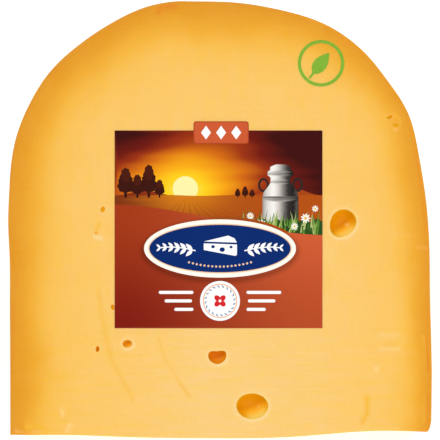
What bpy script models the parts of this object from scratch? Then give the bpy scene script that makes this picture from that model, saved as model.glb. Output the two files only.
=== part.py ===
"""Wedge of semi-hard cheese, cut from a wheel and lying on one of its two radial cut faces.

The wheel's axis runs along X, level with the surface that the wedge lies on. The wedge is what
stands between two radial cuts, and the tip near the axis is trimmed off. The upper cut face
carries a paper label and a small printed mark.

Both cut faces share one outline. On it, u runs across the wheel from one flat side to the other,
and v runs from the trimmed tip out to the rounded rim of the wheel.
"""
import math

import bmesh
import bpy
from mathutils import Matrix

MM = 0.001

# The wheel and the two cuts
WHEEL_RADIUS = 180 * MM
FACE_LENGTH = 118.4 * MM
WEDGE_ANGLE = math.radians(20)
TIP_RADIUS = WHEEL_RADIUS - FACE_LENGTH
AXIS_Y = -(WHEEL_RADIUS + TIP_RADIUS * math.cos(WEDGE_ANGLE)) / 2

# The outline of the cut faces: two flat flanks that pass into two unlike rounded shoulders
CROWN_U = -10.6 * MM
LEFT_SHOULDER = {"side": -1, "width": 46.5 * MM, "spring": 68.0 * MM, "power_u": 1.65, "power_v": 2.11}
RIGHT_SHOULDER = {"side": 1, "width": 67.8 * MM, "spring": 4.9 * MM, "power_u": 2.63, "power_v": 4.57}
SWELL_CENTRE_V = 60 * MM
SWELL_SPREAD = 6.0
SWELLS = {-20: -0.25 * MM, 28: 0.5 * MM, 39: -0.5 * MM, 60: 0.2 * MM, 182: 0.4 * MM}

# The trimmed tip: a cut square to the upper face, a little hollow and wavy
TIP_SAG = 0.9 * MM
TIP_WAVE = 1.4 * MM
TIP_WAVE_U = 38 * MM
TIP_WAVE_SPREAD = 13 * MM
TIP_CORNER = 2.5 * MM
ARRIS = 0.5 * MM

# Fineness of the facets
LEFT_STEPS = 24
RIGHT_STEPS = 40
FLANK_STEP = 9 * MM
TURN_STEPS = 8
TIP_STEPS = 44

# Eyes of the upper face: u, v, width, height and depth in mm, turn in degrees, narrowing
UPPER_EYES = [
    (33.4, 58.2, 7.0, 7.8, 3.4, -24, 0.16),
    (8.8, 8.6, 8.8, 7.0, 3.4, 8, 0.04),
    (-0.7, 21.9, 4.9, 3.6, 2.0, 10, 0.18),
    (-25.1, 25.6, 2.5, 2.1, 1.2, 0, 0.0),
    (-33.2, 24.2, 1.1, 1.6, 0.8, 0, 0.0),
    (-29.3, 35.6, 1.2, 1.4, 0.8, 0, 0.0),
    (-31.8, 62.1, 1.2, 1.6, 0.8, -14, 0.0),
    (46.0, 87.2, 1.6, 1.1, 0.7, 24, 0.0),
    (47.6, 85.1, 1.6, 1.1, 0.7, -10, 0.0),
]
# Eyes of the lower face, which hides them from above
LOWER_EYES = [
    (-31.0, 83.5, 7.4, 6.6, 3.1, 20, 0.10),
    (21.5, 96.0, 4.8, 5.4, 2.2, 0, 0.0),
    (37.0, 42.5, 8.2, 7.2, 3.5, -15, 0.08),
    (-16.5, 33.5, 5.6, 4.6, 2.4, 30, 0.0),
    (-42.0, 50.0, 3.0, 3.4, 1.5, 0, 0.0),
    (6.0, 76.0, 3.2, 2.6, 1.4, 0, 0.0),
    (25.0, 20.5, 3.6, 3.0, 1.6, 0, 0.0),
]
# Eyes of the trimmed tip: u, distance below the upper face, width, height and depth in mm
TIP_EYES = [
    (-19.0, 8.5, 5.6, 4.6, 2.2),
    (31.0, 13.0, 3.6, 3.2, 1.5),
]
LARGE_EYE = 2.0 * MM

# Label: a square of paper with a tab that stands out over its upper edge
SHEET = 0.3 * MM
SHEET_GAP = 0.3 * MM
LABEL_U = -0.35 * MM
LABEL_V = 56.5 * MM
LABEL_WIDTH = 56.3 * MM
LABEL_HEIGHT = 53.3 * MM
LABEL_CORNER = 0.5 * MM
TAB_U = 0.65 * MM
TAB_WIDTH = 15.0 * MM
TAB_RISE = 2.7 * MM
TAB_CORNER = 0.7 * MM
CORNER_STEPS = 4

# Printed mark: a ring round a leaf
MARK_U = 27.4 * MM
MARK_V = 101.7 * MM
RING_RADIUS = 6.3 * MM
RING_WIDTH = 0.85 * MM
RING_STEPS = 48
LEAF_LENGTH = 7.2 * MM
LEAF_WIDTH = 3.7 * MM
LEAF_TURN = math.radians(52)
LEAF_STEPS = 14
STALK_LENGTH = 1.5 * MM
STALK_WIDTH = 0.6 * MM


def clear_scene():
    for item in list(bpy.data.objects):
        bpy.data.objects.remove(item, do_unlink=True)


def make_collection(name):
    collection = bpy.data.collections.new(name)
    bpy.context.scene.collection.children.link(collection)
    return collection


def make_material(name, colour, roughness):
    material = bpy.data.materials.new(name)
    material.use_nodes = True
    shader = material.node_tree.nodes["Principled BSDF"]
    shader.inputs["Base Color"].default_value = (*colour, 1.0)
    shader.inputs["Roughness"].default_value = roughness
    shader.inputs["Metallic"].default_value = 0.0
    return material


def make_object(name, data, collection, parent=None):
    item = bpy.data.objects.new(name, data)
    collection.objects.link(item)
    item.parent = parent
    return item


def to_mesh(bm, name):
    bmesh.ops.recalc_face_normals(bm, faces=bm.faces)
    mesh = bpy.data.meshes.new(name)
    bm.to_mesh(mesh)
    bm.free()
    return mesh


def shoulder_point(shoulder, turn):
    """Point of a rounded shoulder, from its flank (turn 0) to the crown (turn 90 degrees)."""
    reach = math.cos(turn) ** (2 / shoulder["power_u"])
    rise = math.sin(turn) ** (2 / shoulder["power_v"])
    u = CROWN_U + shoulder["side"] * shoulder["width"] * reach
    v = shoulder["spring"] + (FACE_LENGTH - shoulder["spring"]) * rise
    return u, v


def swollen(u, v):
    """The point moved out or in by the soft swells of a cheese that matured on a shelf."""
    around = math.degrees(math.atan2(v - SWELL_CENTRE_V, u))
    if around < -90:
        around += 360
    shift = 0.0
    for angle, height in SWELLS.items():
        shift += height * math.exp(-0.5 * ((around - angle) / SWELL_SPREAD) ** 2)
    radius = math.hypot(u, v - SWELL_CENTRE_V)
    scale = 1 + shift / radius
    return u * scale, SWELL_CENTRE_V + (v - SWELL_CENTRE_V) * scale


def half_outline(shoulder, steps):
    """Flank and shoulder of one side, from below the tip up to just before the crown."""
    points = []
    flank_u = CROWN_U + shoulder["side"] * shoulder["width"]
    flank_start = -FLANK_STEP
    flank_steps = max(1, round((shoulder["spring"] - flank_start) / FLANK_STEP))
    for i in range(flank_steps):
        points.append((flank_u, flank_start + (shoulder["spring"] - flank_start) * i / flank_steps))
    for i in range(steps):
        points.append(shoulder_point(shoulder, math.pi / 2 * i / steps))
    return points


def face_outline():
    """Whole outline of a cut face in u and v, centred on u = 0."""
    points = half_outline(LEFT_SHOULDER, LEFT_STEPS)
    points.append((CROWN_U, FACE_LENGTH))
    points.extend(reversed(half_outline(RIGHT_SHOULDER, RIGHT_STEPS)))
    points = [swollen(u, v) for u, v in points]
    middle = (min(u for u, v in points) + max(u for u, v in points)) / 2
    return [(u - middle, v) for u, v in points]


def wheel_slice():
    """The lower cut face, turned about the wheel's axis through the wedge angle."""
    bm = bmesh.new()
    start = AXIS_Y + TIP_RADIUS
    corners = [bm.verts.new((u, start + v, 0.0)) for u, v in face_outline()]
    face = bm.faces.new(corners)
    bmesh.ops.spin(
        bm, geom=[face], cent=(0.0, AXIS_Y, 0.0), axis=(1.0, 0.0, 0.0),
        angle=WEDGE_ANGLE, steps=TURN_STEPS, use_duplicate=False,
    )
    return to_mesh(bm, "wheel_slice")


def tip_edge(u, half_width):
    """Height v of the trimmed tip over u."""
    v = TIP_SAG * (u / half_width) ** 2
    v += TIP_WAVE * math.exp(-0.5 * ((u - TIP_WAVE_U) / TIP_WAVE_SPREAD) ** 2)
    past_corner = u - (half_width - TIP_CORNER)
    if past_corner > 0:
        drop = min(past_corner, TIP_CORNER)
        v += TIP_CORNER - math.sqrt(TIP_CORNER ** 2 - drop ** 2)
    return v


def tip_knife():
    """Block that trims the tip, in the upper face's frame, with the tip's edge as its upper side."""
    half_width = max(u for u, v in face_outline())
    reach = half_width + 2 * FLANK_STEP
    below = -2 * FLANK_STEP
    bm = bmesh.new()
    corners = [bm.verts.new((-reach, below, 0.0))]
    for i in range(TIP_STEPS + 1):
        u = -half_width + 2 * half_width * i / TIP_STEPS
        if i == 0:
            corners.append(bm.verts.new((-reach, tip_edge(u, half_width), 0.0)))
        corners.append(bm.verts.new((u, tip_edge(u, half_width), 0.0)))
        if i == TIP_STEPS:
            corners.append(bm.verts.new((reach, tip_edge(u, half_width), 0.0)))
    corners.append(bm.verts.new((reach, below, 0.0)))
    face = bm.faces.new(corners)
    depth = TIP_RADIUS
    raised = bmesh.ops.extrude_face_region(bm, geom=[face])
    moved = [item for item in raised["geom"] if isinstance(item, bmesh.types.BMVert)]
    bmesh.ops.translate(bm, verts=moved, vec=(0.0, 0.0, 2 * depth))
    bmesh.ops.translate(bm, verts=bm.verts, vec=(0.0, 0.0, -depth))
    return to_mesh(bm, "tip_knife")


def eye_mesh(width, height, depth, narrowing):
    """Rounded hollow: an ellipsoid whose lower end is narrower than its upper end."""
    large = width > LARGE_EYE
    bm = bmesh.new()
    bmesh.ops.create_uvsphere(bm, u_segments=26 if large else 12, v_segments=14 if large else 8, radius=0.5)
    for vert in bm.verts:
        vert.co.x *= 1 + 2 * narrowing * vert.co.y
    bmesh.ops.scale(bm, vec=(width, height, 2 * depth), verts=bm.verts)
    return to_mesh(bm, "eye")


def hide_cutter(item):
    item.hide_render = True
    item.display_type = "WIRE"


def add_eyes(name, eyes, frame, collection):
    for i, (u, v, width, height, depth, turn, narrowing) in enumerate(eyes):
        mesh = eye_mesh(width * MM, height * MM, depth * MM, narrowing)
        eye = make_object(f"{name}_{i}", mesh, collection, frame)
        eye.location = (u * MM, v * MM, 0.0)
        eye.rotation_euler = (0.0, 0.0, math.radians(turn))
        hide_cutter(eye)


def add_tip_eyes(frame, collection):
    for i, (u, below, width, height, depth) in enumerate(TIP_EYES):
        mesh = eye_mesh(width * MM, height * MM, depth * MM, 0.0)
        eye = make_object(f"tip_eye_{i}", mesh, collection, frame)
        eye.location = (u * MM, 0.0, -below * MM)
        eye.rotation_euler = (math.pi / 2, 0.0, 0.0)
        hide_cutter(eye)


def add_cut(item, name, cutter):
    cut = item.modifiers.new(name, "BOOLEAN")
    cut.operation = "DIFFERENCE"
    cut.solver = "EXACT"
    if isinstance(cutter, bpy.types.Collection):
        cut.operand_type = "COLLECTION"
        cut.collection = cutter
    else:
        cut.object = cutter


def build_cheese(parts, cutters, upper_frame, lower_frame):
    cheese = make_object("cheese", wheel_slice(), parts)
    cheese.data.materials.append(make_material("cheese_paste", (0.93, 0.53, 0.13), 0.45))
    knife = make_object("tip_knife", tip_knife(), cutters, upper_frame)
    hide_cutter(knife)
    add_cut(cheese, "tip", knife)

    arris = cheese.modifiers.new("arris", "BEVEL")
    arris.width = ARRIS
    arris.segments = 2
    arris.limit_method = "ANGLE"
    arris.angle_limit = math.radians(45)

    eyes = bpy.data.collections.new("eyes")
    cutters.children.link(eyes)
    add_eyes("upper_eye", UPPER_EYES, upper_frame, eyes)
    add_eyes("lower_eye", LOWER_EYES, lower_frame, eyes)
    add_tip_eyes(upper_frame, eyes)
    add_cut(cheese, "eyes", eyes)


def corner_arc(centre_u, centre_v, radius, start_degrees, sweep_degrees):
    points = []
    for i in range(CORNER_STEPS + 1):
        angle = math.radians(start_degrees + sweep_degrees * i / CORNER_STEPS)
        points.append((centre_u + radius * math.cos(angle), centre_v + radius * math.sin(angle)))
    return points


def label_outline():
    """Square with rounded corners, whose upper edge steps up round the tab, anticlockwise."""
    right = LABEL_WIDTH / 2
    top = LABEL_HEIGHT / 2
    inset = LABEL_CORNER
    tab_left = TAB_U - TAB_WIDTH / 2
    tab_right = TAB_U + TAB_WIDTH / 2
    tab_top = top + TAB_RISE
    points = corner_arc(right - inset, -top + inset, inset, -90, 90)
    points += corner_arc(right - inset, top - inset, inset, 0, 90)
    points.append((tab_right, top))
    points += corner_arc(tab_right - TAB_CORNER, tab_top - TAB_CORNER, TAB_CORNER, 0, 90)
    points += corner_arc(tab_left + TAB_CORNER, tab_top - TAB_CORNER, TAB_CORNER, 90, 90)
    points.append((tab_left, top))
    points += corner_arc(-right + inset, top - inset, inset, 90, 90)
    points += corner_arc(-right + inset, -top + inset, inset, 180, 90)
    return points


def circle(radius):
    turns = [2 * math.pi * i / RING_STEPS for i in range(RING_STEPS)]
    return [(radius * math.cos(turn), radius * math.sin(turn)) for turn in turns]


def leaf_outline():
    """Pointed leaf along u with its stalk at the left end."""
    half = LEAF_LENGTH / 2
    upper = []
    for i in range(1, LEAF_STEPS + 1):
        along = i / LEAF_STEPS
        swell = math.sin(math.pi * along ** 0.8) ** 0.9 if along < 1 else 0.0
        upper.append((-half + LEAF_LENGTH * along, LEAF_WIDTH / 2 * swell))
    stalk_end = -half - STALK_LENGTH
    stalk = STALK_WIDTH / 2
    lower = [(u, -v) for u, v in upper[:-1]]
    return [(stalk_end, -stalk), (-half, -stalk)] + lower + list(reversed(upper)) + [
        (-half, stalk), (stalk_end, stalk)]


def flat_sheet(name, outlines, place, turn, frame, collection, material):
    """Thin sheet on the upper face, from closed outlines: the first is its edge, the others holes."""
    curve = bpy.data.curves.new(name, "CURVE")
    curve.dimensions = "2D"
    curve.fill_mode = "BOTH"
    curve.extrude = SHEET / 2
    for outline in outlines:
        spline = curve.splines.new("POLY")
        spline.points.add(len(outline) - 1)
        for point, (u, v) in zip(spline.points, outline):
            point.co = (u, v, 0.0, 1.0)
        spline.use_cyclic_u = True
    curve.materials.append(material)
    sheet = make_object(name, curve, collection, frame)
    sheet.location = (*place, SHEET_GAP + SHEET / 2)
    sheet.rotation_euler = (0.0, 0.0, turn)
    return sheet


def build_label(parts, upper_frame):
    paper = make_material("label_paper", (0.42, 0.09, 0.035), 0.4)
    flat_sheet("label", [label_outline()], (LABEL_U, LABEL_V), 0.0, upper_frame, parts, paper)


def build_mark(parts, upper_frame):
    ink = make_material("mark_ink", (0.24, 0.50, 0.045), 0.5)
    place = (MARK_U, MARK_V)
    ring = [circle(RING_RADIUS), circle(RING_RADIUS - RING_WIDTH)]
    flat_sheet("mark_ring", ring, place, 0.0, upper_frame, parts, ink)
    flat_sheet("mark_leaf", [leaf_outline()], place, LEAF_TURN, upper_frame, parts, ink)


def face_frame(name, turn, collection):
    """Empty on a cut face, at the middle of its tip's edge: X is u, Y is v and Z is the face's normal."""
    frame = make_object(name, None, collection)
    turned = Matrix.Rotation(turn, 4, "X")
    frame.matrix_world = Matrix.Translation((0.0, AXIS_Y, 0.0)) @ turned @ Matrix.Translation(
        (0.0, TIP_RADIUS, 0.0))
    return frame


def main():
    clear_scene()
    parts = make_collection("cheese_wedge")
    cutters = make_collection("cutters")
    upper_frame = face_frame("upper_face", WEDGE_ANGLE, cutters)
    lower_frame = face_frame("lower_face", 0.0, cutters)
    build_cheese(parts, cutters, upper_frame, lower_frame)
    build_label(parts, upper_frame)
    build_mark(parts, upper_frame)
    bpy.context.view_layer.update()


main()
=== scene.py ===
"""Looks of a wedge of cheese: its paste, rind and eyes, a printed paper label and a printed mark.

Lengths on the cheese are in millimetres, and become metres when a mesh is made. On a cut face,
u runs across the wheel, v from the trimmed tip out to the rind, and lift stands out of the face.
"""
import math
from collections import namedtuple

import bpy
import numpy as np
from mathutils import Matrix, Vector, noise
from mathutils.geometry import delaunay_2d_cdt


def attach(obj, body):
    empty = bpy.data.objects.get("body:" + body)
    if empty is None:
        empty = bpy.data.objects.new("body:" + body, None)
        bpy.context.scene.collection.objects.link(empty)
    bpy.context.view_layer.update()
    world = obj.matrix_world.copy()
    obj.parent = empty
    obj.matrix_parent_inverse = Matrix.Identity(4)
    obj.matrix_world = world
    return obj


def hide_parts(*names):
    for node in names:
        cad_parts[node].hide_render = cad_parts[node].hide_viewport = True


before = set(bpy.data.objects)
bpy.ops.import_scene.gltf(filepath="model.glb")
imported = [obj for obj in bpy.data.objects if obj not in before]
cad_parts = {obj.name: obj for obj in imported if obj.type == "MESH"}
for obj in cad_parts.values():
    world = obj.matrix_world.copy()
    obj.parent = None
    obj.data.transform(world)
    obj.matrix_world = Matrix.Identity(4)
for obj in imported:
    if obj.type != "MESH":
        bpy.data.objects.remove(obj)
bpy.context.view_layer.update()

MM = 0.001
TAU = 2 * math.pi

# The wheel and its two cuts
WHEEL_RADIUS = 180.0
FACE_LENGTH = 118.4
WEDGE_ANGLE = math.radians(20)
TIP_RADIUS = WHEEL_RADIUS - FACE_LENGTH
AXIS_Y = -(WHEEL_RADIUS + TIP_RADIUS * math.cos(WEDGE_ANGLE)) / 2

# Outline of the cut faces
CROWN_U = -10.6
LEFT_SHOULDER = {"side": -1, "width": 46.5, "spring": 68.0, "power_u": 1.65, "power_v": 2.11}
RIGHT_SHOULDER = {"side": 1, "width": 67.8, "spring": 4.9, "power_u": 2.63, "power_v": 4.57}
SWELL_CENTRE_V = 60.0
SWELL_SPREAD = 6.0
# Swells of the outline: angle round their centre in degrees, and height
SWELLS = {-20: -0.25, 28: 0.5, 39: -0.5, 60: 0.2, 182: 0.4}
SLIGHT_SWELLS = {-40: 0.26, 14: -0.12, 33: 0.2, 64: 0.15, 85: 0.25, 95: 0.1, 109: 0.42, 140: 0.42,
                 158: 0.2, 178: 0.2, 203: 0.1}
# Low on the right the outline is drawn inwards, most at the tip
HEEL_DRAW = 2.0
HEEL_HEIGHT = 8.0

# The trimmed tip
TIP_SAG = 0.8
# Waves of the tip's edge: middle, height, spread
TIP_WAVES = [(42.5, 1.5, 13.6), (12.0, -0.15, 15.0), (-40.0, 0.42, 9.0)]
TIP_CORNER = 1.0
BELOW_TIP = 9.0
# How far the rind reaches round the corners of the tip
LEFT_WRAP = 2.0
RIGHT_WRAP = 4.0

# Fineness and softness of the skin
ARRIS = 0.42
# Rounding of the corner beside a cut face: how far in and how far down each row lies
FILLET = [(ARRIS, 0.0), (ARRIS * 0.29, ARRIS * 0.29)]
RING_STEP = 0.8
CORNER_STEP = 0.4
STREAK_STEP = 0.5
SHOULDER_POINTS = 240
FLANK_POINTS = 80
TIP_POINTS = 120
TURN_ROWS = 36
UPPER_SPACING = 0.85
LOWER_SPACING = 1.3
TIP_SPACING = 0.8
# Room of the lattice points round an edge, an eye and a streak, as shares of the spacing
EDGE_ROOM = 0.6
EYE_ROOM = 0.5
STREAK_ROOM = 0.45
# Distances from the edge over which relief grows to its full height
WAVE_FADE = (0, 4)
GROOVE_FADE = (0, 2)
TIP_FADE = (0, 3)
# The rind's unevenness fades over heights v near the tip, and over rows near the cut faces
HEEL_FADE = (1, 8)
ROW_FADE = (0, 3)
# The tip is trimmed square to the upper face up to the first v, and round from the second one
TIP_BLEND = (5.0, 60.0)
# Waves of the cut faces: broad ones, and smaller ones that the wire drew out across the face
WAVE_HEIGHT = 0.13
BROAD_WAVE = 34.0
WIRE_WAVE = 7.0
WIRE_SHARE = 0.22
WIRE_STRETCH = (0.35, 1.0)
WIRE_SHIFT = 5.0
TIP_WAVE_SHARE = 1.4
# Materials of the skin, by index
PASTE, RIND = range(2)
# Pages of the noise: each face of the paste has waves and a pattern of its own
UPPER_PAGE, LOWER_PAGE, TIP_PAGE, EDGE_PAGE = range(4)
# Waves of the rind, broad dents and finer ones: size, height and shift of the noise
RIND_WAVES = [(27.0, 0.3, 0.0), (5.0, 0.05, 9.0)]

# Eyes: the turn is in degrees, the narrowing is towards the low end, and a tone of 1 is the deepest painted
# shade in the bowl
Eye = namedtuple("Eye", "u v width height depth tone turn narrowing flat_top", defaults=(0, 0, 0))
UPPER_EYES = [
    Eye(33.25, 58.2, 6.8, 7.9, 3.3, 0.66, turn=-33, narrowing=0.09),
    Eye(8.75, 8.65, 8.6, 7.0, 3.2, 0.6, turn=-3, narrowing=0.03),
    Eye(-0.72, 22.25, 4.8, 4.2, 1.7, 1.0, turn=3, narrowing=0.1, flat_top=0.32),
    Eye(-25.1, 25.6, 2.45, 2.05, 0.9, 0.85),
    Eye(-33.2, 24.2, 1.0, 1.6, 0.8, 0.8),
    Eye(-29.0, 35.5, 1.2, 1.6, 0.5, 0.3, turn=30),
    Eye(-31.8, 62.1, 1.2, 1.7, 0.5, 0.22, turn=-14),
    Eye(-33.7, 55.7, 0.8, 0.6, 0.25, 0.05),
    Eye(46.0, 87.1, 1.7, 0.9, 0.4, 0.28, turn=25),
    Eye(47.7, 84.9, 1.9, 1.1, 0.35, 0.18, turn=-10, flat_top=0.3),
]
LOWER_EYES = [
    Eye(-31.0, 83.5, 7.4, 6.6, 3.1, 0.65, turn=20, narrowing=0.10),
    Eye(21.5, 96.0, 4.8, 5.4, 2.2, 0.7),
    Eye(37.0, 42.5, 8.2, 7.2, 3.5, 0.6, turn=-15, narrowing=0.08),
    Eye(-16.5, 33.5, 5.6, 4.6, 2.4, 0.8, turn=30),
    Eye(-42.0, 50.0, 3.0, 3.4, 1.5, 0.8),
    Eye(6.0, 76.0, 3.2, 2.6, 1.4, 0.9),
    Eye(25.0, 20.5, 3.6, 3.0, 1.6, 0.8),
]
# Eyes of the tip's face: v here is square to the upper face, and under 0 below it
TIP_EYES = [
    Eye(-19.0, -8.5, 5.6, 4.6, 2.2, 0.7),
    Eye(31.0, -13.0, 3.6, 3.2, 1.5, 0.8),
]
LARGE_EYE = 2.0
# Rings down the bowl and points round the rim
LARGE_MESH = (10, 72)
SMALL_MESH = (5, 24)
EYE_OPENING = math.radians(84)
# A flat top: how square its corners are, and the dip in it
SQUARING = 0.7
NOTCH = 0.15
NOTCH_WIDTH = 0.3
# Painted light: the side of a large eye's bowl whose wall faces the light, its lower right, is painted
# paler and yellower
LIT_SIDE = np.array([0.45, -0.89])
# The painted shade of the deepest tones is nearly even over the bowl, and their painted lit side is duller
EVEN_SHARE = 0.75
EVEN_TONES = (0.66, 1.0)
RIM_HUE = 0.12
DULL_SHARE = 0.75
DULL_TONES = (0.7, 1.0)
# Painted glint on a large eye: place right and up as shares of its half size, size, strength, the tones
# over which it grows, and the last tone that has one
GLINT = {"right": 0.42, "up": -0.06, "size": 0.38, "strength": 0.9, "tones": (0.56, 0.68),
         "last_tone": 0.7}
# Lip round an eye: distance from the rim, rise, glow, the strength of the lip's painted highlight. A small
# eye has a smaller lip.
SMALL_LIP = 0.6
LIP_RINGS = [(0.12, 0.03, 1.0), (0.35, 0.025, 0.85), (0.7, 0.01, 0.5), (1.25, 0.0, 0.0)]

# Faint marks in the paste of the upper face: half width, strength, points. A strength over 0 is
# a groove of a deeper yellow, or of orange near the rind, and one under 0 a pale graze.
STREAKS = [
    (0.9, 0.95, [(-16.3, 116.8), (-12.2, 117.4)]),
    (0.5, 0.8, [(-17.0, 115.5), (-16.4, 115.4)]),
    (0.6, 0.7, [(53.6, 77.0), (55.6, 66.0), (56.2, 58.0)]),
    (0.5, 0.9, [(55.3, 27.5), (56.2, 23.4), (56.3, 18.4)]),
    (0.6, 0.8, [(56.2, 11.5), (55.6, 4.5)]),
    (0.35, -0.35, [(53.6, 51.9), (56.2, 51.6)]),
    (0.35, -0.2, [(47.5, 55.2), (51.5, 55.0)]),
    (1.1, 0.9, [(-52.6, 3.0), (-48.8, 2.9)]),
    (0.4, 0.6, [(-49.2, 3.2), (-46.8, 1.6)]),
    (0.6, 0.5, [(-33.1, 40.1), (-31.2, 28.7), (-29.3, 21.1), (-25.5, 14.1), (-23.6, 10.3)]),
    (0.5, 0.35, [(-16.8, 26.8), (-14.7, 21.1), (-10.3, 14.1), (-8.7, 11.9)]),
    (0.5, 0.3, [(-11.1, 14.9), (-7.9, 11.1)]),
    (0.6, 1.0, [(39.9, 11.0), (39.9, 6.6), (38.6, 4.4)]),
    (0.6, 0.35, [(45.2, 25.6), (47.6, 25.6)]),
    (0.35, 0.9, [(-33.6, 55.6), (-33.4, 57.0), (-32.8, 58.2)]),
    (0.4, 0.6, [(47.4, 87.6), (48.6, 86.6), (49.2, 85.4)]),
    (0.7, -0.9, [(42.3, 18.9), (42.5, 18.8)]),
    (0.5, -0.5, [(43.5, 24.2), (48.4, 24.3)]),
    (0.5, -0.45, [(43.0, 27.9), (48.0, 28.1)]),
    (0.35, -0.3, [(21.8, 23.1), (29.0, 23.0)]),
    (0.45, -1.2, [(-34.0, 54.7), (-32.2, 54.2)]),
    (0.45, -0.6, [(47.5, 83.7), (47.9, 83.7)]),
    (0.6, -0.9, [(-50.4, 1.9), (-48.6, 2.1)]),
    (0.5, -0.6, [(-55.5, 1.8), (-51.0, 1.7)]),
    (0.5, -0.7, [(-42.9, 7.6), (-42.7, 6.2)]),
    (0.5, -0.7, [(-40.6, 3.7), (-41.6, 1.8)]),
    (2.4, -0.3, [(-11.4, 79.6), (-9.6, 78.0)]),
    (2.8, -0.2, [(12.6, 93.4), (13.6, 92.6)]),
]
GROOVE = 0.16

# Label and mark
LABEL_U = -0.4
LABEL_V = 56.67
LABEL_WIDTH = 56.45
LABEL_HEIGHT = 53.7
LABEL_CORNER = 0.25
TAB_U = 0.7
TAB_WIDTH = 14.95
TAB_RISE = 2.43
TAB_DROP = 3.67
TAB_CORNER = 0.7
PAPER = 0.11
PAPER_GAP = 0.03
PAPER_EDGE = 0.05
ART_SPACING = 0.9
MARK_U = 27.4
MARK_V = 101.7
RING_RADIUS = 6.3
RING_WIDTH = 0.85
LEAF_LENGTH = 7.2
LEAF_WIDTH = 3.7
LEAF_TURN = math.radians(52)
STALK_LENGTH = 1.5
RING_STEPS = 96
MARK_GREEN = "#86BC3C"
INK = 0.04
INK_GAP = 0.02

# Camera, square to the upper face, and the studio, with its places and sizes in metres
LENS = 150.0
SENSOR = 36.0
CAMERA_DISTANCE = 497.2
VIEW_CENTRE_V = 59.2
CLIP_START = 0.01
FLOOR_HALF = 20.0
FLOOR_GLOW = 0.4
WORLD_STRENGTH = 0.46
LIGHT_TARGET = (0.0, 0.0, 0.03)
# Lights: name, place, size, power in watts
LIGHTS = [("key", (-2.0, 1.8, 3.6), 0.8, 66.0), ("fill", (1.1, -2.0, 2.3), 3.0, 48.0),
          ("back", (1.9, 2.4, 0.75), 1.2, 15.0)]


def linear(code):
    """Linear red, green and blue of a colour given as #RRGGBB."""
    parts = [int(code[i:i + 2], 16) / 255 for i in (1, 3, 5)]
    return np.array([part / 12.92 if part <= 0.04045 else ((part + 0.055) / 1.055) ** 2.4
                     for part in parts])


def rgba(code):
    return (*linear(code), 1.0)


def smooth(value, low, high):
    """Share from 0 at low to 1 at high, with soft ends."""
    share = np.clip((value - low) / (high - low), 0, 1)
    return share * share * (3 - 2 * share)


def closed(row):
    """A row of points or ids with its first one again at the end."""
    return np.r_[row, row[:1]]


def place(u, reach, angle, lift):
    """World points, in metres, at reach from the wheel's axis on the half-plane at angle."""
    y = AXIS_Y + reach * np.cos(angle) - lift * np.sin(angle)
    z = reach * np.sin(angle) + lift * np.cos(angle)
    return np.stack(np.broadcast_arrays(u, y, z), axis=-1) * MM


def resample(path, step):
    """Evenly spaced points along an open path, both ends kept."""
    path = np.asarray(path, dtype=float)
    along = np.r_[0, np.cumsum(np.hypot(*np.diff(path, axis=0).T))]
    count = max(2, round(along[-1] / step) + 1)
    at = np.linspace(0, along[-1], count)
    return np.c_[np.interp(at, along, path[:, 0]), np.interp(at, along, path[:, 1])]


def distance_to(points, path):
    """Distance from each point to an open path."""
    best = np.full(len(points), np.inf)
    for start, end in zip(path[:-1], path[1:]):
        along = end - start
        share = np.clip((points - start) @ along / (along @ along), 0, 1)
        best = np.minimum(best, np.hypot(*(points - start - share[:, None] * along).T))
    return best


def moved(points, x, y, turn=0.0):
    """Flat points turned about the origin, then moved."""
    points = np.asarray(points, dtype=float)
    turned = np.c_[points[:, 0] * math.cos(turn) - points[:, 1] * math.sin(turn),
                   points[:, 0] * math.sin(turn) + points[:, 1] * math.cos(turn)]
    return turned + (x, y)


def inside(points, loop):
    """Which points lie inside a closed loop."""
    odd = np.zeros(len(points), dtype=bool)
    for (x0, y0), (x1, y1) in zip(loop, np.roll(loop, -1, axis=0)):
        if y0 == y1:
            continue
        spanned = (points[:, 1] >= min(y0, y1)) & (points[:, 1] < max(y0, y1))
        crossing = x0 + (points[:, 1] - y0) / (y1 - y0) * (x1 - x0)
        odd ^= spanned & (points[:, 0] < crossing)
    return odd


def noise_at(points, size, shift=0.0):
    """Smooth noise from -1 to 1, with features of about size, at flat or solid points."""
    scaled = np.asarray(points) / size + shift
    if scaled.shape[1] == 2:
        scaled = np.c_[scaled, np.full(len(scaled), shift)]
    return np.array([noise.noise(Vector(point)) for point in scaled])


# Outline of the cheese

def shoulder_line(shoulder):
    """Flank and shoulder of one side, from the tip up to the crown."""
    turn = np.linspace(0, math.pi / 2, SHOULDER_POINTS)
    reach = np.cos(turn).clip(0) ** (2 / shoulder["power_u"])
    rise = np.sin(turn) ** (2 / shoulder["power_v"])
    u = CROWN_U + shoulder["side"] * shoulder["width"] * reach
    v = shoulder["spring"] + (FACE_LENGTH - shoulder["spring"]) * rise
    flank = np.linspace(-BELOW_TIP, shoulder["spring"], FLANK_POINTS, endpoint=False)
    flank_u = np.full(len(flank), CROWN_U + shoulder["side"] * shoulder["width"])
    return np.c_[np.r_[flank_u, u], np.r_[flank, v]]


def swollen(points, swells):
    """Points pushed out from the middle by swells, each an angle in degrees and a height."""
    offset = points - (0, SWELL_CENTRE_V)
    around = np.degrees(np.arctan2(offset[:, 1], offset[:, 0]))
    around = np.where(around < -90, around + 360, around)
    shift = sum(height * np.exp(-0.5 * ((around - angle) / SWELL_SPREAD) ** 2)
                for angle, height in swells.items())
    scale = 1 + shift / np.hypot(offset[:, 0], offset[:, 1])
    return offset * scale[:, None] + (0, SWELL_CENTRE_V)


def tip_height(u, half_width):
    """Height v of the trimmed tip over u, before its right corner is rounded."""
    waves = sum(height * np.exp(-0.5 * ((u - middle) / spread) ** 2)
                for middle, height, spread in TIP_WAVES)
    return TIP_SAG * (u / half_width) ** 2 + waves


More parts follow.
